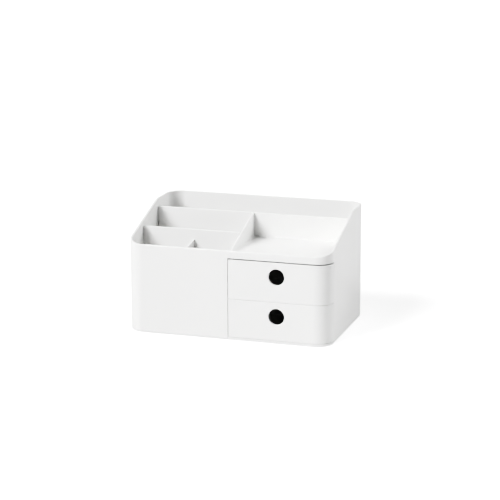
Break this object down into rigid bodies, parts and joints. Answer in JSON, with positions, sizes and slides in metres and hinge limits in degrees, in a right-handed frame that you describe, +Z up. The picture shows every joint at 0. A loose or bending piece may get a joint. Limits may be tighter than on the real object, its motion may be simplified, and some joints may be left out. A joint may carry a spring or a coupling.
{
  "type": "desk organizer",
  "caption": "Desk organizer with a sloping rim, a rear file slot, upright pockets, a shallow tray and drawers with round finger holes that slide out below it.",
  "frame": {"origin": "on the desk, under the middle of the plan, at the height of the feet's undersides", "axes": "+Z up, +X to the right seen from the front, the drawers slide out towards -Y"},
  "size_m": [0.25, 0.16, 0.1402],
  "materials": {
    "white_plastic": "satin",
    "inner_plastic": "satin",
    "foot_rubber": "matte",
    "zinc_steel": "zinc plated"
  },
  "bodies": {
    "housing": {"outer_shell": "white_plastic", "base_plate": "white_plastic", "centre_partition": "white_plastic", "rear_divider": "white_plastic", "middle_divider": "white_plastic", "pen_divider": "white_plastic", "top_tray": "white_plastic", "drawer_shelf": "inner_plastic", "foot_back_left": "foot_rubber", "foot_back_right": "foot_rubber", "foot_front_left": "foot_rubber", "foot_front_right": "foot_rubber", "base_screw_back_left": "zinc_steel", "base_screw_back_right": "zinc_steel", "base_screw_front_left": "zinc_steel", "base_screw_front_centre": "zinc_steel"},
    "upper_drawer": {"upper_drawer_front": "white_plastic", "upper_drawer_tub": "inner_plastic"},
    "lower_drawer": {"lower_drawer_front": "white_plastic", "lower_drawer_tub": "inner_plastic"}
  },
  "joints": [
    {"name": "upper_drawer_slide", "type": "slide", "parent": "housing", "child": "upper_drawer", "axis": [0, -1, 0], "range_m": [0, 0.0745]},
    {"name": "lower_drawer_slide", "type": "slide", "parent": "housing", "child": "lower_drawer", "axis": [0, -1, 0], "range_m": [0, 0.0745]}
  ]
}
